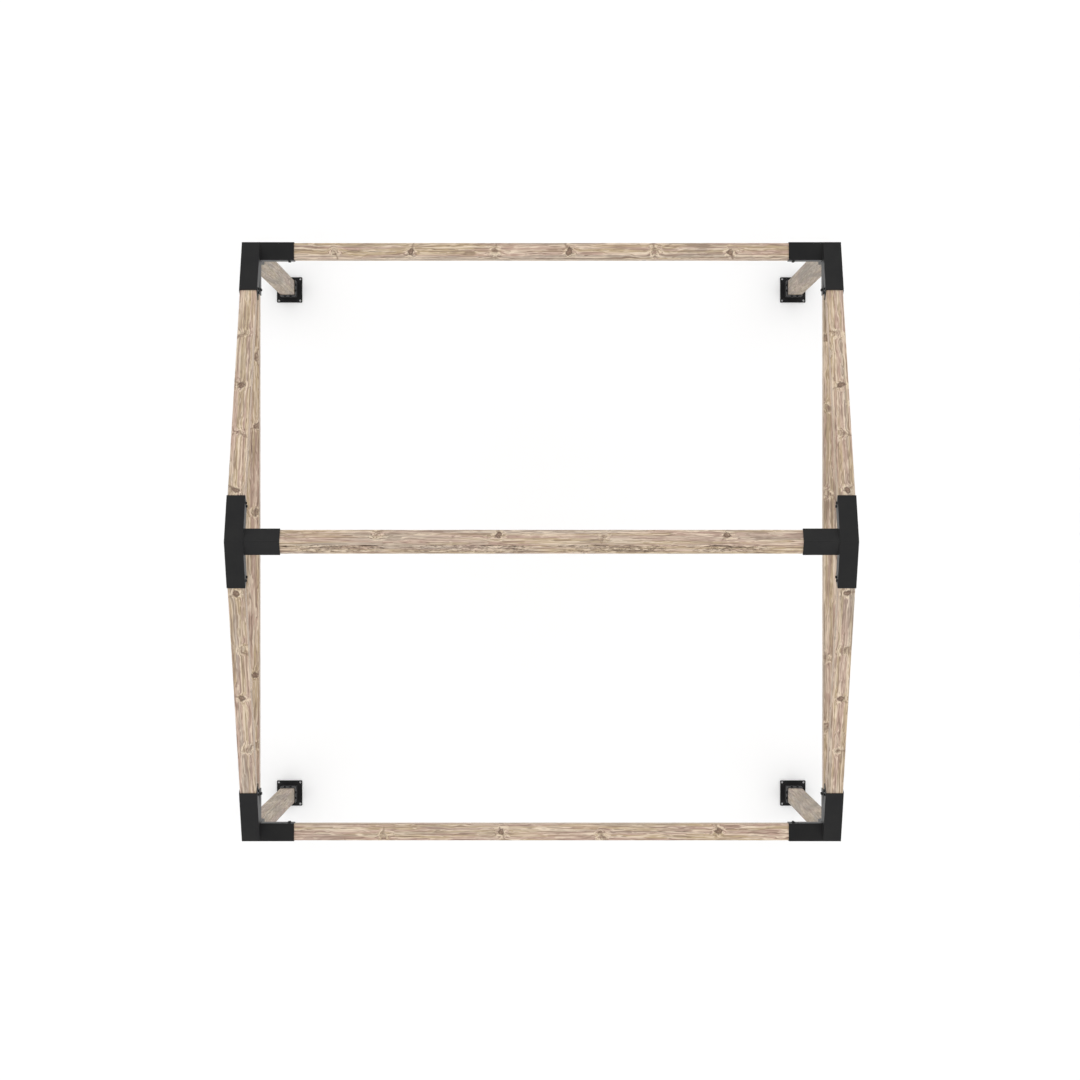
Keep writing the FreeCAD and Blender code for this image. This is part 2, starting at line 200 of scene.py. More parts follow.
def dry_softwood(name, least, weathering_and_shade):
    """Softwood that turns towards a given colour, by the least share and up to a quarter more in patches:
    weathering on the beams and rafters, painted shade on the posts and tie beams."""
    made, shader, n = material(name)
    along = n.attribute("along", "Vector")
    knot_u, knot_v, knot_near = n.split(n.attribute("knot", "Vector"))
    ring, radius, kind = n.split(n.attribute("tree", "Vector"))
    check = n.attribute("check", "Fac")

    # The distance from a knot's middle in radii, a little uneven, and in its own way at each knot
    own = n.math("MULTIPLY", kind, 97.0)
    own_place = n.join(own, own, own)
    ripple = n.noise_node(n.vector("ADD", n.join(knot_u, knot_v, 0.0), own_place), 0.55)
    push = n.vector("SUBTRACT", ripple.outputs["Color"], (0.5, 0.5, 0.5))
    push = n.vector("MULTIPLY", push, (2.4, 2.4, 0.0))
    knot_u, knot_v, _ = n.split(n.vector("ADD", n.join(knot_u, knot_v, 0.0), push))
    in_knot = n.join(knot_u, knot_v, 0.0)
    uneven = n.math("SUBTRACT", ripple.outputs[0], 0.5)
    lozenge = n.math("MULTIPLY_ADD", n.math("ABSOLUTE", knot_v), 0.8, n.math("ABSOLUTE", knot_u))
    circle = n.math("MULTIPLY", n.vector("LENGTH", in_knot), 0.5)
    distance = n.math("MULTIPLY_ADD", lozenge, 0.42, circle)
    distance = n.math("MAXIMUM", distance, n.math("SUBTRACT", knot_near, 0.8))
    near = n.math("EXPONENT", n.math("MULTIPLY", n.math("POWER", distance, 2.0), -0.3))

    # The grain wanders, and flows round the knots.
    slow = n.math("SUBTRACT", n.grain(along, 2.6, 17.0, 2.0), 0.5)
    quick = n.math("SUBTRACT", n.grain(along, 10.0, 34.0), 0.5)
    quick_reach = n.math("MULTIPLY_ADD", near, 0.04, 0.016)
    bend = n.math("MULTIPLY_ADD", slow, 0.026, n.math("MULTIPLY", quick, quick_reach))
    bend = n.math("SUBTRACT", bend, n.math("MULTIPLY", n.math("MULTIPLY", radius, near), 1.3))
    flow = n.vector("ADD", along, n.join(0.0, bend, bend))
    ring = n.math("ADD", ring, bend)

    hue = n.grain(flow, 1.1, 42.0)
    cast = n.grain(flow, 0.8, 24.0)
    tone = n.grain(flow, 2.8, 105.0, 2.0, 0.6)
    line = n.grain(flow, 4.8, 210.0)
    color = n.blend(n.step(hue, 0.42, 0.58), PINK, OCHRE)
    color = n.blend(n.step(cast, 0.52, 0.66, 0.0, 0.75), color, ASH)
    color = n.blend(n.step(tone, 0.5, 0.64, 0.0, 0.9), color, CREAM)
    color = n.blend(n.step(tone, 0.47, 0.33, 0.0, 0.8), color, BROWN)
    color = n.blend(n.step(line, 0.55, 0.68, 0.0, 0.7), color, DARK_LINE)
    color = n.blend(n.step(line, 0.44, 0.32, 0.0, 0.65), color, CREAM)

    # Latewood: each ring darkens slowly and ends sharply.
    phase = n.math("FRACT", n.math("MULTIPLY", ring, RINGS_PER_METRE))
    latewood = n.math("MULTIPLY", n.step(phase, 0.35, 0.9), n.step(phase, 1.0, 0.94))
    color = n.blend(n.math("MULTIPLY", latewood, 0.22), color, LATEWOOD)

    # Fibres, flecks, and weathering on the beams, which is painted shade on the posts and tie beams
    fibre = n.grain(flow, 9.0, 800.0, 2.0, 0.7)
    color = n.blend(n.step(fibre, 0.3, 0.75, 0.0, 0.25), color, FIBRE)
    fleck = n.math("MULTIPLY_ADD", check, 0.2, n.grain(flow, 14.0, 230.0))
    color = n.blend(n.step(fleck, 0.62, 0.76, 0.0, 0.7), color, FLECK)
    # Patches towards the given colour: weathering on the beams and rafters, painted shade on the posts and
    # tie beams
    weather_and_shade = n.grain(along, 2.3, 9.0, 2.0)
    color = n.blend(n.step(weather_and_shade, 0.4, 0.75, least, least + 0.25), color, weathering_and_shade)

    # Torn grain: pale curls with dark edges
    curl = n.grain(flow, 24.0, 95.0, 2.0)
    loose = n.step(check, 0.1, 0.38)
    color = n.blend(n.math("MULTIPLY", n.step(curl, 0.54, 0.66, 0.0, 0.5), loose), color, CREAM)
    from_edge = n.math("ABSOLUTE", n.math("SUBTRACT", curl, 0.47))
    color = n.blend(n.math("MULTIPLY", n.step(from_edge, 0.05, 0.01, 0.0, 0.8), loose), color, CURL_EDGE)

    # Knots: pale swirled grain outside and a slanted spike across the timber, then a brown core with its own
    # rings, and a dark rim round the core
    grit = n.noise(n.vector("ADD", in_knot, own_place), 1.9, 2.0, 0.6)
    ragged = n.math("MULTIPLY_ADD", n.math("SUBTRACT", grit, 0.5), 1.1, distance)
    dark = n.step(kind, 0.35, 0.65)
    pale = n.math("MULTIPLY", n.step(distance, 2.9, 1.4), n.step(tone, 0.46, 0.54, 0.0, 0.7))
    color = n.blend(pale, color, KNOT_PALE)
    slanted = n.math("MULTIPLY_ADD", n.math("MULTIPLY", n.math("SINE", own), 0.8), knot_v, knot_u)
    spike_width = n.math("MULTIPLY_ADD", n.math("ABSOLUTE", knot_v), -0.15, 1.25)
    spike = n.step(n.math("ABSOLUTE", slanted), spike_width, 0.0)
    spike = n.math("MULTIPLY", spike, n.step(distance, 5.0, 2.6))
    spike = n.math("MULTIPLY", spike, n.step(n.math("ADD", knot_v, uneven), -0.7, 0.4))
    spike = n.math("MULTIPLY", spike, n.step(grit, 0.34, 0.56, 0.35, 1.0))
    color = n.blend(n.math("MULTIPLY", spike, 0.75), color, KNOT_SPIKE)
    knot_rings = n.math("FRACT", n.math("MULTIPLY", distance, 4.0))
    core = n.blend(n.step(knot_rings, 0.1, 0.95), KNOT_EARLYWOOD, KNOT_LATEWOOD)
    core = n.blend(n.step(grit, 0.5, 0.68, 0.0, 0.6), core, KNOT_GRIT)
    inside = n.math("MULTIPLY", n.step(ragged, 1.35, 0.8), n.step(grit, 0.3, 0.5, 0.6, 1.0))
    color = n.blend(n.math("MULTIPLY", inside, n.math("MULTIPLY_ADD", dark, 0.75, 0.2)), color, core)
    rim = n.math("MULTIPLY", n.step(ragged, 0.6, 0.95), n.step(ragged, 1.5, 1.0))
    color = n.blend(n.math("MULTIPLY", rim, n.math("MULTIPLY_ADD", dark, 0.4, 0.2)), color, KNOT_RIM)

    color = n.blend(n.step(check, 0.42, 0.72), color, CRACK)
    n.feed(shader.inputs["Base Color"], color)

    n.feed(shader.inputs["Roughness"], n.math("MULTIPLY_ADD", fibre, 0.22, 0.5))
    shader.inputs["Specular IOR Level"].default_value = 0.4
    relief = n.math("MULTIPLY_ADD", latewood, 0.5, n.math("MULTIPLY", fibre, 0.6))
    relief = n.math("MULTIPLY_ADD", n.math("MULTIPLY", knot_rings, inside), 0.4, relief)
    n.feed(shader.inputs["Normal"], n.bump(relief, 0.5, 0.0008))
    return made


# Timber meshes. The columns of vertices run round the section: those on a face, then those on the corner that
# follows it, and so on for the four faces.

GRID = 0.006  # spacing of the mesh along a timber
FACE_COLUMNS = 17  # columns of vertices across each face
CORNER_STEPS = 2  # and round each corner
FACE_STRIDE = FACE_COLUMNS + CORNER_STEPS
EASE = 0.003  # radius of the eased edges
INSET = 0.00035  # how far the section lies inside the sawn size
WEAR = 0.00022  # height of the worn faces' waves
WORN_DOWN = 0.00012  # how far they are sunk below the section, on average
DENT = 0.0011  # depth of the dents in the edges
DENT_FROM = 1.1  # height of a wave above which it is a dent
SMOOTH_BELOW = 32  # angle between faces, in degrees

LIP_WIDTH = 0.0105  # a crack this wide is dark out to its lips
NARROWEST = 0.0005  # the least distance from a crack's middle to a lip
CRACK_WANDER = 0.0032  # how far a crack wanders sideways
MOST_WANDER = 0.004
CRACK_RUN_OUT = 0.05  # length beyond a crack's ends in which the columns return to their even spacing
TORN = 0.4  # the value of check in torn grain

PITH_SPREAD = 0.02  # how far off a timber's middle its pith may be
PITH_DRIFT = 0.006  # how far the pith wanders
KNOT_RISE = 0.0003  # how far a dark knot stands out
KNOT_GROOVE = 0.0005  # depth of the groove round it


def face_ways(face):
    """The directions out of a face and along it, across the timber."""
    out = np.array([(1, 0), (0, 1), (-1, 0), (0, -1)][face], float)
    return out, np.array([-out[1], out[0]])


def section_columns(half):
    """For each column round the section, its place, the directions out and sideways, and whether it is on a
    corner."""
    places, outs, asides, on_corner = [], [], [], []
    for face in range(4):
        out, aside = face_ways(face)
        for s in np.linspace(-(half - EASE), half - EASE, FACE_COLUMNS):
            places.append(out * half + aside * s)
            outs.append(out)
            asides.append(aside)
            on_corner.append(False)
        for k in range(1, CORNER_STEPS + 1):
            turn = k / (CORNER_STEPS + 1) * math.pi / 2
            direction = out * math.cos(turn) + aside * math.sin(turn)
            places.append((out + aside) * (half - EASE) + direction * EASE)
            outs.append(direction)
            asides.append(aside)
            on_corner.append(True)
    return np.array(places), np.array(outs), np.array(asides), np.array(on_corner)


def waves(rng, across, along, count, longest, shortest, side):
    """A smooth random field: a sum of waves much longer along the timber than across it. About -1 to 1."""
    total = np.zeros(np.broadcast(across, along).shape)
    for _ in range(count):
        wave = math.exp(rng.uniform(math.log(shortest), math.log(longest)))
        slant = rng.uniform(-1, 1) * 2 * math.pi * rng.integers(1, 6) / (4 * side)
        total += np.sin(2 * math.pi * along / wave + slant * across + rng.uniform(0, 2 * math.pi))
    return total / math.sqrt(count)


def crack_shape(rng, run):
    """Depth along a crack from 0 to 1, deep in the middle and pinched here and there."""
    body = np.clip(np.sin(np.clip(run, 0, 1) * math.pi), 0, None) ** 0.5
    pinch = 0.75 + 0.25 * np.sin(run * rng.uniform(9, 21) + rng.uniform(0, 6))
    return body * pinch * ((run > 0) & (run < 1))


def cut_crack(rng, u, length, side, spacing, crack, sink, shift, check):
    """Sinks a crack's own column, and draws the columns beside it in to its lips."""
    face, column, start, span, width, depth = crack
    centre = face * FACE_STRIDE + column
    run = (u[:, 0] + length / 2 - start) / span
    opened = crack_shape(rng, run)
    near = np.clip(1 - np.clip(np.abs(run - 0.5) - 0.5, 0, None) * span / CRACK_RUN_OUT, 0, 1)
    path = CRACK_WANDER * waves(rng, np.zeros(1), u[:, 0], 5, 0.9, 0.12, side) * near
    path = np.clip(path, -MOST_WANDER, MOST_WANDER)
    lip = np.maximum(width / 2 * opened, NARROWEST)
    shift[:, centre] += path
    for direction in (-1, 1):
        beside = centre + direction
        shift[:, beside] += path - direction * (spacing - lip) * near
        check[:, beside] = np.maximum(check[:, beside], opened * width / LIP_WIDTH)
    sink[:, centre] += depth * opened
    check[:, centre] = np.maximum(check[:, centre], np.clip(opened * 1.6, 0, 1))


def tear_grain(u, tear, check):
    """check with torn grain added, on some of a face's columns and fading out at its start and end."""
    face, low, high, start, end = tear
    fade = np.exp(-(((u - (start + end) / 2) / ((end - start) / 2)) ** 4))
    on_columns = np.zeros(check.shape[1])
    on_columns[face * FACE_STRIDE + low : face * FACE_STRIDE + high] = TORN
    return np.maximum(check, fade * on_columns[None, :])


def grow_knots(rng, u, across, half, pith, knots):
    """The place in the nearest knot, the distance from it, its radius and its kind. Each knot grows out from
    the pith and widens."""
    shape = across.shape[:2]
    knot = np.full((*shape, 2), KNOT_LIMIT)
    nearest = np.full(shape, KNOT_LIMIT)
    size = np.full(shape, 0.01)
    kind = np.zeros(shape)
    for place_along, face, offset, kind_here, thick in knots:
        out_way, aside_way = face_ways(face)
        target = np.array([place_along, *(out_way * half + aside_way * offset * half)])
        root = np.array([place_along - rng.uniform(-0.006, 0.02), *pith])
        reach = np.linalg.norm(target - root)
        axis = (target - root) / reach
        first = np.array([1.0, 0, 0]) - axis * axis[0]
        first /= np.linalg.norm(first)
        second = np.cross(axis, first) * rng.choice([-1, 1])
        from_root = (u - root[0], across[..., 0] - root[1], across[..., 1] - root[2])
        outward, up, beside = (sum(o * a for o, a in zip(from_root, way)) for way in (axis, first, second))
        radius = thick * (0.35 + 0.65 * np.clip(outward / reach, 0, 1.3))
        away = np.where(outward > 0.15 * reach, np.hypot(up, beside) / radius, KNOT_LIMIT)
        closer = away < nearest
        nearest = np.where(closer, away, nearest)
        size = np.where(closer, radius, size)
        kind = np.where(closer, kind_here, kind)
        for number, value in enumerate((up / radius, beside / radius)):
            knot[..., number] = np.where(closer, value, knot[..., number])
    return np.clip(knot, -KNOT_LIMIT, KNOT_LIMIT), nearest, size, kind


def timber_mesh(name, length, side, rng, cracks, knots, tears):
    """A timber that lies along its first axis, with worn faces, cracks and knots."""
    half = side / 2 - INSET
    place, out, aside, on_corner = section_columns(half)
    columns = len(place)
    rows = int(round(length / GRID)) + 1
    u = np.linspace(-length / 2, length / 2, rows)[:, None]
    perimeter = np.linspace(0, 4 * side, columns, endpoint=False)[None, :]

    sink = WEAR * waves(rng, perimeter, u, 14, 1.2, 0.05, side)
    sink = np.clip(sink + WORN_DOWN, -INSET * 0.8, 0.001)
    dents = np.clip(waves(rng, perimeter * 3, u, 16, 0.5, 0.03, side) - DENT_FROM, 0, None)
    sink += np.where(on_corner[None, :], DENT * dents, 0)
    shift = np.zeros((rows, columns))
    check = np.zeros((rows, columns))
    spacing = 2 * (half - EASE) / (FACE_COLUMNS - 1)
    for crack in cracks:
        cut_crack(rng, u, length, side, spacing, crack, sink, shift, check)
    for tear in tears:
        check = tear_grain(u, tear, check)
    across = place[None] + shift[..., None] * aside[None] - sink[..., None] * out[None]

    # The pith wanders along the timber, and the rings run round it.
    pith = rng.uniform(-PITH_SPREAD, PITH_SPREAD, 2)
    drift = [PITH_DRIFT * np.sin(2 * math.pi * u / rng.uniform(1.5, 3) + rng.uniform(0, 6)) for _ in range(2)]
    ring = np.hypot(across[..., 0] - pith[0] - drift[0], across[..., 1] - pith[1] - drift[1])
    knot, nearest, size, kind = grow_knots(rng, u, across, half, pith, knots)
    groove = np.exp(-(((nearest - 1.05) / 0.15) ** 2)) * KNOT_GROOVE
    raised = kind * (np.exp(-(nearest**4)) * KNOT_RISE - groove)
    across = across + np.clip(raised, -0.001, INSET * 0.7)[..., None] * out[None]

    vertices = np.concatenate([np.broadcast_to(u[..., None], (rows, columns, 1)), across], 2).reshape(-1, 3)
    caps = [tuple(range(columns))[::-1], tuple(range((rows - 1) * columns, rows * columns))]
    mesh = bpy.data.meshes.new(name)
    mesh.from_pydata(vertices.tolist(), [], grid_faces(rows, columns) + caps)
    shade(mesh, SMOOTH_BELOW)

    moved_on = rng.uniform(5, 60)  # so that no two timbers have the same grain
    for attribute, form, key, values in (
        ("along", "FLOAT_VECTOR", "vector", vertices + np.array([moved_on, 0.3, 0.7])),
        ("tree", "FLOAT_VECTOR", "vector", np.dstack([ring, size, kind])),
        ("knot", "FLOAT_VECTOR", "vector", np.dstack([knot, nearest])),
        ("check", "FLOAT", "value", check),
    ):
        layer = mesh.attributes.new(attribute, form, "POINT")
        layer.data.foreach_set(key, values.astype(np.float32).ravel())
    return mesh


def grid_faces(rows, columns, base=0):
    """Quads of a grid whose columns run round in a ring."""
    return [
        (
            base + r * columns + c,
            base + r * columns + (c + 1) % columns,
            base + (r + 1) * columns + (c + 1) % columns,
            base + (r + 1) * columns + c,
        )
        for r in range(rows - 1)
        for c in range(columns)
    ]


def shade(mesh, degrees):
    """Smooth shading, except over edges where the faces meet at more than this angle."""
    mesh.polygons.foreach_set("use_smooth", [True] * len(mesh.polygons))
    mesh.set_sharp_from_angle(angle=math.radians(degrees))


def add_piece(name, mesh, matrix, slot, *nodes):
    """Puts a mesh in the frame as a piece that rides on the frame's body and stands for some nodes."""
    mesh.transform(matrix)
    made = bpy.data.objects.new(name, mesh)
    bpy.context.scene.collection.objects.link(made)
    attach(made, "root")
    if nodes:
        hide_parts(*nodes)


def axes_matrix(centre, along, first, second):
    """Takes a piece's own three axes to directions in the frame."""
    matrix = Matrix((along, first, second)).transposed().to_4x4()
    matrix.translation = centre
    return matrix


def middle(node):
    low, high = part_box(node)
    return (low + high) / 2


def extent(node):
    low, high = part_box(node)
    return high - low


# Knots on the timbers' upper faces: place along, from the middle, place across, in half widths, and kind,
# from 0 healed over to 1 dark.
DARK, WEAK, HEALED = 0.9, 0.45, 0.1
# Across is towards the front.
EAVE_KNOTS = {
    "back": [
        (-1.12, 0.1, HEALED),
        (-0.71, 0.1, DARK),
        (-0.25, 0.0, HEALED),
        (0.15, 0.1, DARK),
        (0.615, 0.0, HEALED),
        (1.02, 0.1, DARK),
    ],
    "front": [(-0.86, 0.3, HEALED), (-0.22, -0.1, DARK), (0.32, 0.2, HEALED), (0.96, -0.1, DARK)],
}
# Across is towards the inside.
TIE_KNOTS = {
    "left": [(-1.1, 0.7, WEAK), (-0.72, 0.5, DARK), (0.16, 0.5, WEAK), (0.63, 0.8, WEAK), (1.0, 0.6, WEAK)],
    "right": [
        (-1.0, 0.6, WEAK),
        (-0.63, 0.8, HEALED),
        (0.26, 0.5, HEALED),
        (0.72, 0.4, WEAK),
        (1.1, 0.8, WEAK),
    ],
}
# The first place is the level distance from the ridge, and across is towards the outside.
RAFTER_KNOTS = [(0.268, 0.05, DARK), (0.568, -0.1, HEALED), (0.826, 0.05, DARK), (1.111, 0.0, HEALED)]
# On the back upper face, and across is towards the top edge
RIDGE_KNOTS = [(-0.85, 0.0, HEALED), (-0.22, -0.1, DARK), (0.32, 0.0, HEALED), (0.95, -0.1, DARK)]

SEEN_KNOT_RADII = (0.0132, 0.0158)
OTHER_KNOT_RADII = (0.006, 0.0135)
DARK_SHARE = 0.6  # of the other knots
KIND_SPREAD = 0.1

# The faces of a timber by number. The ridge beam stands on its edge.
TOP = 1
RIDGE_BACK, RIDGE_FRONT = 0, 1

# Cracks in the ridge beam's front upper face: column, counted from the top edge, start, from the middle of
# the beam, and span
RIDGE_CRACKS = [(6, -1.36, 0.1), (6, -1.16, 0.16), (5, -0.98, 0.2), (8, -0.9, 0.12), (5, -0.34, 0.12)]
RIDGE_CRACKS += [(7, -0.22, 0.16), (10, -0.2, 0.12), (6, 0.08, 0.12), (5, 0.22, 0.14), (12, 0.3, 0.3)]
RIDGE_CRACKS += [(5, 0.84, 0.12), (7, 0.93, 0.17), (10, 0.85, 0.12)]
RIDGE_CRACK_SIZE = (0.006, 0.006)  # width and depth
# Torn grain round them: start and end, from the middle of the beam, on the columns from one to before another
RIDGE_TEARS = [(-1.3, -0.8), (-0.75, 0.0), (0.05, 0.7), (0.75, 1.2)]
TEAR_COLUMNS = (4, 15)

CRACK_TRIES = 6  # at fine cracks, in each timber but the ridge beam
CRACK_COLUMNS = [3, 8, 13]
CRACK_WIDTH = 0.0022
CRACK_DEPTH = 0.004
TIMBER_SEED = 4100


def random_cracks(rng, length):
    """Fine cracks over the four faces, each as (face, column, start from the end, span, width, depth)."""
    found = []
    taken = set()
    for _ in range(CRACK_TRIES):
        face = int(rng.integers(0, 4))
        column = int(rng.choice(CRACK_COLUMNS))
        if (face, column) in taken:
            continue
        taken.add((face, column))
        span = rng.uniform(0.12, 0.55)
        start = rng.uniform(0.05, max(0.06, length - span - 0.05))
        width = CRACK_WIDTH * rng.uniform(0.6, 1.2)
        found.append((face, column, start, span, width, CRACK_DEPTH * rng.uniform(0.6, 1.2)))
    return found


def all_knots(rng, length, seen_face, seen, clear):
    """Knots as (place along, face, place across, kind, radius): the seen ones on their face, and others on
    the faces that aren't kept clear."""
    found = []
    for place_along, across, kind in seen:
        kind += rng.uniform(0, KIND_SPREAD)
        found.append((place_along, seen_face, across, kind, rng.uniform(*SEEN_KNOT_RADII)))
    others = [face for face in range(4) if face not in clear]
    where = -length / 2 + rng.uniform(0.1, 0.3)
    while where < length / 2 - 0.05:
        face = int(rng.choice(others))
        kind = DARK if rng.random() < DARK_SHARE else HEALED
        across = rng.uniform(-0.75, 0.75)
        kind += rng.uniform(0, KIND_SPREAD)
        found.append((where, face, across, kind, rng.uniform(*OTHER_KNOT_RADII)))
        where += rng.uniform(0.12, 0.36)
    return found


def rafter_run(node, x_sign, y_sign):
    """A rafter's three axes, its length, and its seen knots by their place along it."""
    rise = Vector((0, -y_sign * math.cos(PITCH), math.sin(PITCH)))
    first = X * y_sign
    length = (extent(node).y - TIMBER * math.sin(PITCH)) / math.cos(PITCH)
    face_out = abs(middle(node).y) + TIMBER / 2 * math.sin(PITCH)  # the upper face's middle, from the ridge
    knots = []
    for out, across, kind in RAFTER_KNOTS:
        knots.append(((face_out - out) / math.cos(PITCH), -across * x_sign * y_sign, kind))
    return rise, first, rise.cross(first), length, knots


def timber_plan():
    """Each timber as (node, wood, its three axes, length, seen knots)."""
    beam_wood = dry_softwood("dry_softwood", 0.0, BEAM_WEATHERED)
    # The posts' wood is darkened and greyed by painted shade and a painted grey reflection
    post_wood = dry_softwood("post_painted_shade_softwood", 0.4, POST_PAINTED_SHADE)
    # The tie beams' wood is darkened by painted shade from the rafters above them
    tie_wood = dry_softwood("shaded_softwood", 0.1, TIE_PAINTED_SHADE)
    plan = []
    for end, _ in ENDS:
        node = f"eave_beam_{end}"
        plan.append((node, beam_wood, X, Y, Z, extent(node).x, EAVE_KNOTS[end]))
    for side, x_sign in SIDES:
        node = f"tie_beam_{side}"
        knots = [(place_along, -across * x_sign, kind) for place_along, across, kind in TIE_KNOTS[side]]
        plan.append((node, tie_wood, Y, -X, Z, extent(node).y, knots))
    for corner, x_sign, y_sign in CORNERS:
        plan.append((f"post_{corner}", post_wood, Z, X, Y, extent(f"post_{corner}").z, []))
        node = f"rafter_{corner}"
        plan.append((node, beam_wood, *rafter_run(node, x_sign, y_sign)))
    up_back = (Y + Z).normalized()
    length = extent("ridge_beam").x
    plan.append(("ridge_beam", beam_wood, X, up_back, X.cross(up_back), length, RIDGE_KNOTS))
    return plan


def timbers():
    for number, (node, wood, along, first, second, length, seen) in enumerate(timber_plan()):
        rng = np.random.default_rng(TIMBER_SEED + number)
        cracks = random_cracks(rng, length)
        tears = []
        seen_face, clear = TOP, [TOP] if seen else []
        if node == "ridge_beam":  # it has its own cracks instead
            cracks = []
            for column, start, span in RIDGE_CRACKS:
                cracks.append((RIDGE_FRONT, column, start + length / 2, span, *RIDGE_CRACK_SIZE))
            tears = [(RIDGE_FRONT, *TEAR_COLUMNS, start, end) for start, end in RIDGE_TEARS]
            seen_face, clear = RIDGE_BACK, [RIDGE_BACK, RIDGE_FRONT]
        knots = all_knots(rng, length, seen_face, seen, clear)
        mesh = timber_mesh(node + "_wood", length, TIMBER, rng, cracks, knots, tears)
        mesh.materials.append(wood)
        add_piece(node + "_wood", mesh, axes_matrix(middle(node), along, first, second), "timber", node)


# Steel


def powder_coat():
    made, shader, n = material("black_powder_coat")
    place = n.place()
    patches = n.noise(place, 9.0, 4.0, 0.6)
    peel = n.noise(place, 420.0)
    dust = n.noise(place, 60.0, 5.0, 0.7)
    color = n.blend(n.step(patches, 0.3, 0.75), (0.0077, 0.0077, 0.0082, 1), (0.0115, 0.0114, 0.0112, 1))
    color = n.blend(n.step(dust, 0.6, 0.8, 0.0, 0.25), color, (0.035, 0.033, 0.030, 1))
    n.feed(shader.inputs["Base Color"], color)
    n.feed(shader.inputs["Roughness"], n.math("MULTIPLY_ADD", patches, 0.12, 0.41))
    shader.inputs["Specular IOR Level"].default_value = 0.185
    n.feed(shader.inputs["Normal"], n.bump(peel, 0.25, 0.0004))
    return made


def coated_screw_steel():
    made, shader, n = material("black_coated_screws")
    rubbed = n.noise(n.place(), 340.0, 3.0, 0.7)
    color = n.blend(n.step(rubbed, 0.5, 0.75), (0.008, 0.008, 0.009, 1), (0.035, 0.034, 0.033, 1))
    n.feed(shader.inputs["Base Color"], color)
    n.feed(shader.inputs["Roughness"], n.step(rubbed, 0.3, 0.7, 0.42, 0.3))
    shader.inputs["Specular IOR Level"].default_value = 0.12
    n.feed(shader.inputs["Normal"], n.bump(rubbed, 0.2, 0.0003))
    return made


BEAD_SIZE = 0.0038
BEAD_SINK = 0.0006  # how far the back of a bead is sunk into the corner
BEAD_HOLLOW = 0.18  # how much lower its face is between its two toes, as a share of its size
BEAD_POINTS = 7  # across its face
BEAD_END = 0.35  # share of its size that it has at its ends
BEAD_GROWTH = 14  # how fast it grows from there, by share of its run
RIPPLE = 0.0026
RIPPLE_LOW = 0.9  # share of its size at the start of a ripple
RIPPLE_RISE = 0.14
RIPPLE_LAG = 0.0011  # how far the ripples bow along the bead
STEPS_PER_RIPPLE = 4
EDGE_GAP = 0.002  # how far a bead stops from a bracket's outer face
SLOPE_GAP = 0.006  # the same, for the bead beside the rafter's sleeve
WELD_SMOOTH_BELOW = 50  # degrees


def weld_bead(vertices, faces, start, end, first, second):
    """A rippled fillet bead from start to end, in the corner between faces that lead away along first and
    second."""
    run = end - start
    count = max(2, int(run.length / RIPPLE)) * STEPS_PER_RIPPLE + 1
    direction = run.normalized()
    back = -(first + second).normalized() * BEAD_SINK
    base = len(vertices)
    for i in range(count):
        t = i / (count - 1)
        phase = (i % STEPS_PER_RIPPLE) / STEPS_PER_RIPPLE
        ripple = RIPPLE_LOW + RIPPLE_RISE * phase
        swell = BEAD_SIZE * ripple * min(1.0, BEAD_END + BEAD_GROWTH * min(t, 1 - t))
        centre = start + run * t
        vertices.append(centre + back)
        for j in range(BEAD_POINTS):
            angle = j / (BEAD_POINTS - 1) * math.pi / 2
            arc = first * math.cos(angle) + second * math.sin(angle)
            lag = direction * (-RIPPLE_LAG * math.sin(2 * angle))
            vertices.append(centre + arc * swell * (1 - BEAD_HOLLOW * math.sin(2 * angle)) + lag)
    columns = BEAD_POINTS + 1
    faces += grid_faces(count, columns, base)
    faces.append(tuple(base + c for c in range(columns))[::-1])
    faces.append(tuple(base + (count - 1) * columns + c for c in range(columns)))


def weld_piece(name, lines, steel):
    """One piece of all the beads of a bracket. A line is its two ends and the two ways its faces lead."""
    vertices, faces = [], []
    for line in lines:
        weld_bead(vertices, faces, *line)
    mesh = bpy.data.meshes.new(name)
    mesh.from_pydata(vertices, [], faces)
    mesh.validate()
    shade(mesh, WELD_SMOOTH_BELOW)
    mesh.materials.append(steel)
    add_piece(name, mesh, Matrix.Identity(4), "black_steel")


def flipped(lines, x_sign, y_sign):
    """Lines of the back right corner, mirrored to another corner. An odd mirror swaps the two faces."""
    found = []
    for line in lines:
        start, end, first, second = (Vector((v.x * x_sign, v.y * y_sign, v.z)) for v in line)
        odd = x_sign * y_sign < 0
        found.append((start, end, second, first) if odd else (start, end, first, second))
    return found


def corner_lines():
    """Where a corner bracket's sleeves meet: those of the eave beam and tie beam, of the eave beam and post,
    of the tie beam and post, and of the eave beam and rafter."""
    low = EAVE_TOP - SLEEVE
    inner_low = Vector((INNER, INNER, low))
    return [
        (Vector((INNER, INNER, EAVE_TOP - EDGE_GAP)), inner_low, -X, -Y),
        (Vector((INNER, HALF - EDGE_GAP, low)), inner_low, -X, -Z),
        (inner_low, Vector((HALF - EDGE_GAP, INNER, low)), -Y, -Z),
        (Vector((INNER, INNER, EAVE_TOP)), Vector((INNER, HALF - SLOPE_GAP, EAVE_TOP)), -X, Z),
    ]


def ridge_lines():
    """Where the back upper face of the sleeve on edge meets the ridge bracket's inner face."""
    reach = SLEEVE / math.sqrt(2)
    top = Vector((INNER, 0, RIDGE_TOP))
    slope = Vector((INNER, reach, RIDGE_TOP - reach)) - top
    start = top + slope * 0.05
    return [(start, start + slope * 0.94, -X, (Y + Z).normalized())]


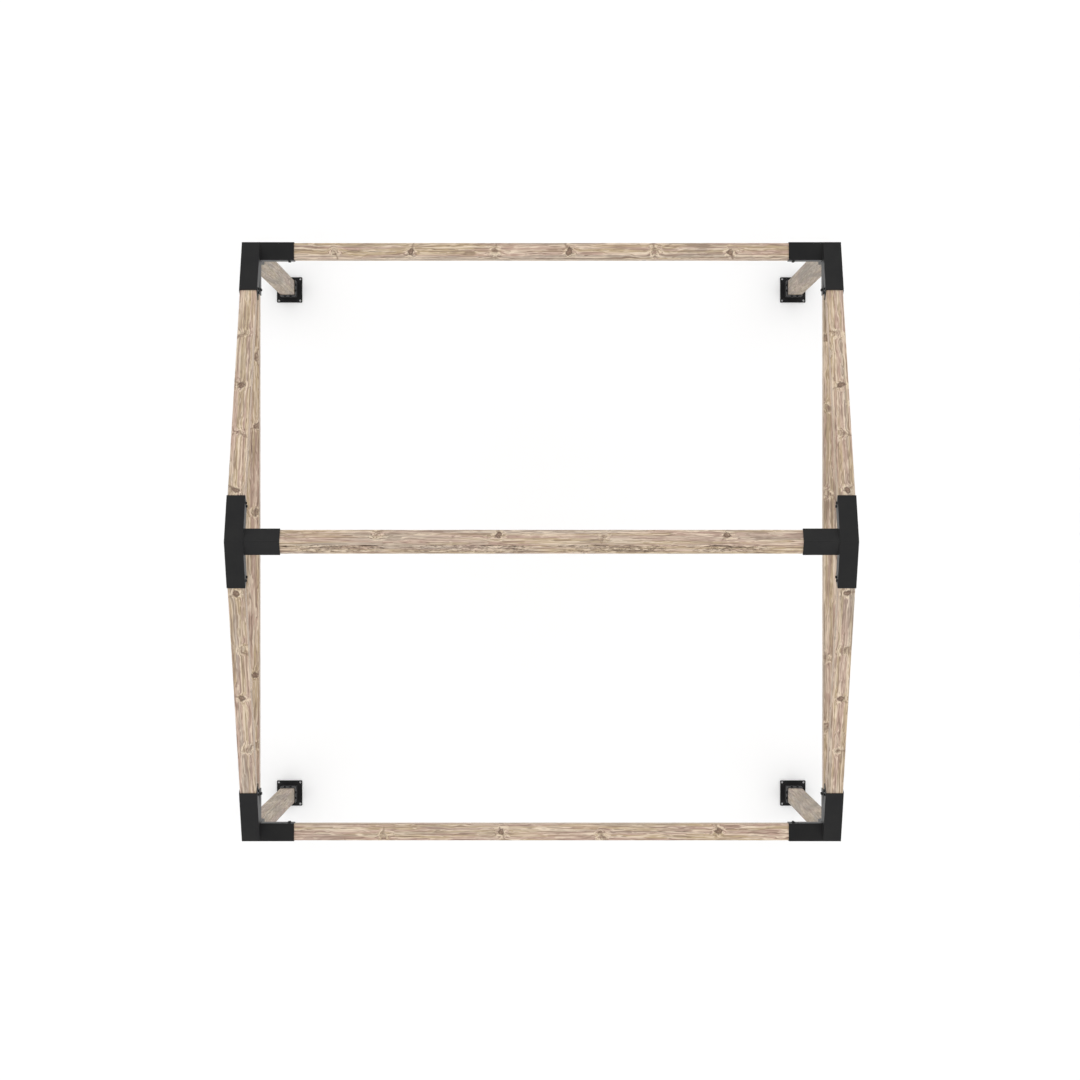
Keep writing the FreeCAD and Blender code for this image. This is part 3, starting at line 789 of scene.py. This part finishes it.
def base_lines():
    """Round the foot of the post sleeve, on the base plate."""
    square = ((INNER, INNER), (HALF, INNER), (HALF, HALF), (INNER, HALF))
    a, b, c, d = (Vector((x, y, PLATE_TOP)) for x, y in square)
    return [(a, b, -Y, Z), (b, c, X, Z), (c, d, Y, Z), (d, a, -X, Z)]


def coat(node, steel):
    """Gives a bracket of the frame its coating."""
    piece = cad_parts[node]
    piece.data.materials.clear()
    piece.data.materials.append(steel)


def brackets():
    steel = powder_coat()
    for corner, x_sign, y_sign in CORNERS:
        for kind, lines in (("corner", corner_lines()), ("base", base_lines())):
            coat(f"{kind}_bracket_{corner}", steel)
            weld_piece(f"{kind}_welds_{corner}", flipped(lines, x_sign, y_sign), steel)
    for side, x_sign in SIDES:
        coat(f"ridge_bracket_{side}", steel)
        both = flipped(ridge_lines(), x_sign, 1) + flipped(ridge_lines(), x_sign, -1)
        weld_piece(f"ridge_welds_{side}", both, steel)


# Fasteners

HEAD_FLATS = 0.0127
HEAD_HEIGHT = 0.0055
HEAD_FLAT_SHARE = 0.94  # of the head's flats, to where the top is turned down
HEAD_TURNED = math.radians(28)
SHANK_RADIUS = 0.004
SHANK_LENGTH = 0.058
PLAIN_SHARE = 0.35  # of the shank, next to the head, without a thread
TIP_LENGTH = 0.007
THREAD_PITCH = 0.0036
RINGS_PER_TURN = 6  # rings of vertices in one turn of the thread
HOLE_PLAY = 0.0005  # between the shank and its washer
WASHER_EASE = 0.00025
ROUND_STEPS = 36
FASTENER_SMOOTH_BELOW = 30  # degrees
FASTENER_SEED = 77


def loose_parts(node):
    """The separate solids of a node, each as an array of its vertices."""
    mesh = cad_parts[node].data
    co = np.array([v.co for v in mesh.vertices], float).reshape(-1, 3)
    _, same = np.unique(np.round(co, 5), axis=0, return_inverse=True)
    same = same.ravel()
    parent = list(range(same.max() + 1))

    def root(i):
        while parent[i] != i:
            parent[i] = parent[parent[i]]
            i = parent[i]
        return i

    for edge in mesh.edges:
        a, b = root(same[edge.vertices[0]]), root(same[edge.vertices[1]])
        parent[a] = b
    roots = np.array([root(i) for i in same])
    return [co[roots == r] for r in sorted(set(roots.tolist()))]


def washer_spots(node):
    """Each washer's under-side centre, its direction out of the steel, which is away from the middle of its
    screw, its thickness and its radius."""
    screws = [part.mean(0) for part in loose_parts(node.replace("washers", "screws"))]
    spots = []
    for part in loose_parts(node):
        centre = part.mean(0)
        _, _, directions = np.linalg.svd(part - centre, full_matrices=False)
        out = directions[2]
        nearest = min(screws, key=lambda screw: np.linalg.norm(screw - centre))
        out = out if np.dot(centre - nearest, out) > 0 else -out
        reach = (part - centre) @ out
        radius = np.linalg.norm(part - centre, axis=1).max()
        spots.append((centre + out * reach.min(), out, reach.max() - reach.min(), radius))
    return spots


def revolve(rings):
    """Vertices and faces of rings joined in order. A ring is a (radius, height) or gives one for an angle."""
    vertices = []
    for ring in rings:
        for k in range(ROUND_STEPS):
            angle = 2 * math.pi * k / ROUND_STEPS
            radius, height = ring(angle) if callable(ring) else ring
            vertices.append((radius * math.cos(angle), radius * math.sin(angle), height))
    return vertices, grid_faces(len(rings), ROUND_STEPS)


def hex_radius(angle):
    sixth = math.pi / 3
    return HEAD_FLATS / 2 / math.cos((angle % sixth) - sixth / 2)


def thread(height):
    """A ring of the threaded shank, which narrows to its tip."""

    def ring(angle):
        phase = (height / THREAD_PITCH - angle / (2 * math.pi)) % 1
        crest = max(0.0, 1 - abs(phase - 0.5) * 5)
        taper = min(1.0, (height + SHANK_LENGTH) / TIP_LENGTH)
        return max(0.0001, SHANK_RADIUS * taper * (0.78 + 0.2 * crest)), height

    return ring


def screw_shape(seat):
    """A lag screw: a pointed threaded shank, and above seat, the washer's top, a hexagonal head with
    turned-down corners and a dished top."""
    top = seat + HEAD_HEIGHT
    flat = HEAD_FLATS / 2 * HEAD_FLAT_SHARE
    plain = SHANK_RADIUS * 0.97
    slope = math.tan(HEAD_TURNED)
    heights = np.arange(-SHANK_LENGTH, -SHANK_LENGTH * PLAIN_SHARE, THREAD_PITCH / RINGS_PER_TURN)
    rings = [thread(h) for h in heights]
    rings += [(plain, heights[-1] + 0.001), (plain, seat)]
    rings += [lambda a: (hex_radius(a) * 0.97, seat), lambda a: (hex_radius(a), seat + 0.0002)]
    rings += [lambda a: (hex_radius(a), top - (hex_radius(a) - flat) * slope), (flat, top)]
    rings += [(flat * 0.72, top), (flat * 0.66, top - 0.00025), (0.0002, top - 0.0003)]
    vertices, faces = revolve(rings)
    last = len(vertices) - ROUND_STEPS
    faces.append(tuple(range(ROUND_STEPS))[::-1])
    faces.append(tuple(range(last, last + ROUND_STEPS)))
    return vertices, faces


def washer_shape(thickness, outer):
    """A washer that lies on the steel, with its edges eased."""
    hole = SHANK_RADIUS + HOLE_PLAY
    ease = WASHER_EASE
    rings = [
        (hole, 0.0),
        (outer - ease, 0.0),
        (outer, ease),
        (outer, thickness - ease * 2),
        (outer - ease * 1.5, thickness),
        (hole + ease, thickness),
        (hole, thickness - ease),
    ]
    vertices, faces = revolve(rings)
    last = (len(rings) - 1) * ROUND_STEPS
    for k in range(ROUND_STEPS):
        faces.append((last + k, last + (k + 1) % ROUND_STEPS, (k + 1) % ROUND_STEPS, k))
    return vertices, faces


def group_piece(name, node, shape, places, steel):
    """One piece of the same shape at several places."""
    vertices, faces = [], []
    own_vertices, own_faces = shape
    for matrix in places:
        base = len(vertices)
        vertices += [matrix @ Vector(v) for v in own_vertices]
        faces += [tuple(base + i for i in face) for face in own_faces]
    mesh = bpy.data.meshes.new(name)
    mesh.from_pydata(vertices, [], faces)
    mesh.validate()
    shade(mesh, FASTENER_SMOOTH_BELOW)
    mesh.materials.append(steel)
    add_piece(name, mesh, Matrix.Identity(4), "black_fasteners", node)


def fasteners():
    """Finer screws and washers in the places of the frame's own."""
    steel = coated_screw_steel()
    rng = np.random.default_rng(FASTENER_SEED)
    groups = [f"{kind}_washers_{corner}" for kind in ("corner", "base") for corner, _, _ in CORNERS]
    groups += [f"ridge_washers_{side}" for side, _ in SIDES]
    for node in groups:
        spots = washer_spots(node)
        places = []
        for centre, out, _, _ in spots:
            facing = Vector(out).to_track_quat("Z", "Y").to_matrix().to_4x4()
            facing.translation = Vector(centre)
            places.append(facing @ Matrix.Rotation(rng.uniform(0, math.pi), 4, "Z"))
        thickness = min(spot[2] for spot in spots)
        outer = min(spot[3] for spot in spots)
        group_piece(node + "_round", node, washer_shape(thickness, outer), places, steel)
        screws = node.replace("washers", "screws")
        group_piece(screws + "_hex", screws, screw_shape(thickness), places, steel)


# Stage


def camera():
    data = bpy.data.cameras.new("camera")
    data.lens = LENS_MM
    data.sensor_width = SENSOR_MM
    data.clip_end = CAMERA_REACH
    made = bpy.data.objects.new("camera", data)
    made.location = CAMERA_PLACE
    bpy.context.scene.collection.objects.link(made)
    bpy.context.scene.camera = made


def floor():
    made, shader, n = material("pale_floor")
    cloud = n.noise(n.place(), 0.8, 3.0)
    n.feed(shader.inputs["Base Color"], n.blend(cloud, (0.925, 0.925, 0.925, 1), (0.94, 0.94, 0.94, 1)))
    shader.inputs["Roughness"].default_value = 0.9
    shader.inputs["Specular IOR Level"].default_value = 0.1
    half = FLOOR_SIDE / 2
    square = ((-half, -half), (half, -half), (half, half), (-half, half))
    mesh = bpy.data.meshes.new("floor")
    mesh.from_pydata([(x, y, -FLOOR_DROP) for x, y in square], [], [(0, 1, 2, 3)])
    mesh.materials.append(made)
    ground = bpy.data.objects.new("floor", mesh)
    bpy.context.scene.collection.objects.link(ground)


def sky():
    """Even white light, stronger high up, with a dimmer patch straight overhead."""
    world = bpy.data.worlds.new("sky")
    bpy.context.scene.world = world
    world.use_nodes = True
    n = Nodes(world.node_tree)
    height = n.split(n.add("ShaderNodeTexCoord").outputs["Generated"])[2]
    background = world.node_tree.nodes["Background"]
    background.inputs["Color"].default_value = (1, 1, 1, 1)
    ring = n.step(height, 0.0, 0.75, SKY_LOW, SKY_HIGH)
    strength = n.math("MULTIPLY", ring, n.step(height, 0.82, 0.97, 1.0, SKY_HOLE))
    n.feed(background.inputs["Strength"], strength)


camera()
timbers()
brackets()
fasteners()
floor()
sky()
bpy.context.scene.view_settings.view_transform = "Standard"
